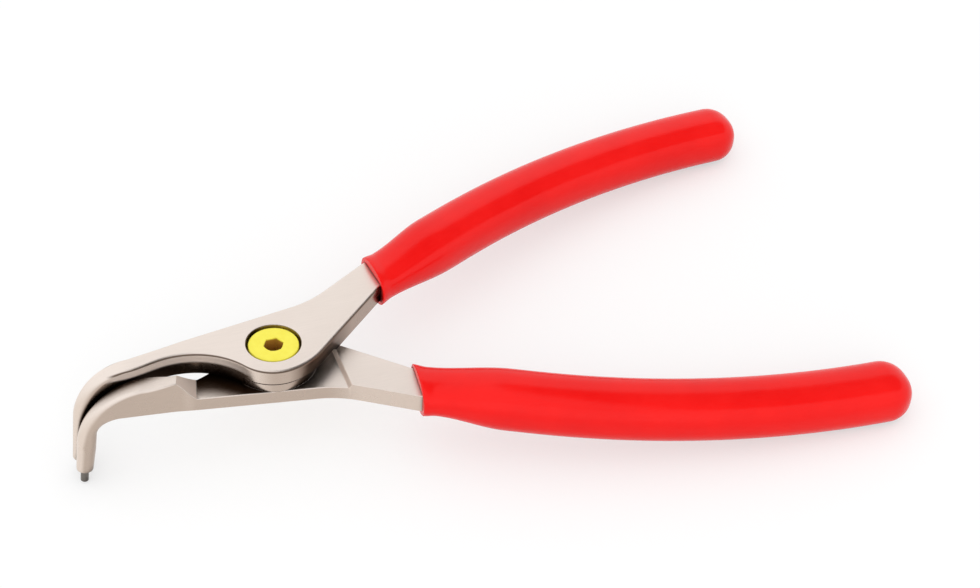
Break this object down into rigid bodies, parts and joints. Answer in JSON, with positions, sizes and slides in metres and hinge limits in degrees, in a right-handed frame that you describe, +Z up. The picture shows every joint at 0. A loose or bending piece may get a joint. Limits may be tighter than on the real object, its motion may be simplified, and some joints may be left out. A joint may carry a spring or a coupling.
{
  "type": "circlip pliers",
  "caption": "Hand pliers for outside retaining rings: bent noses with pin tips, a lapped pivot with a hidden return spring, and sleeve grips. Squeezing the handles spreads the tips.",
  "frame": {"origin": "on the pivot axis, in the plane where the two levers lap, at the floor of the screw's socket", "axes": "+X towards the grips, +Y towards the upper lever's grip, +Z up out of the screw's head; the noses point to -X and bend down to -Z"},
  "size_m": [0.1782, 0.1084, 0.031],
  "materials": {
    "lever_steel": "satin nickel plate",
    "tip_steel": "hardened, polished",
    "grip_pvc": "satin soft PVC",
    "screw_yellow": "yellow lacquer",
    "spring_steel": "drawn spring wire"
  },
  "bodies": {
    "lower_handle": {"lower_lever": "lever_steel", "lower_tip": "tip_steel", "lower_grip": "grip_pvc", "pivot_screw": "screw_yellow", "return_spring": "spring_steel"},
    "upper_handle": {"upper_lever": "lever_steel", "upper_tip": "tip_steel", "upper_grip": "grip_pvc"}
  },
  "joints": [
    {"name": "handle_squeeze", "type": "hinge", "parent": "lower_handle", "child": "upper_handle", "pos_m": [0, 0, 0], "axis": [0, 0, -1], "range_deg": [0, 30], "stiffness_Nm_per_rad": 0.4, "springref_deg": -20.05, "deforming": ["return_spring"]}
  ]
}
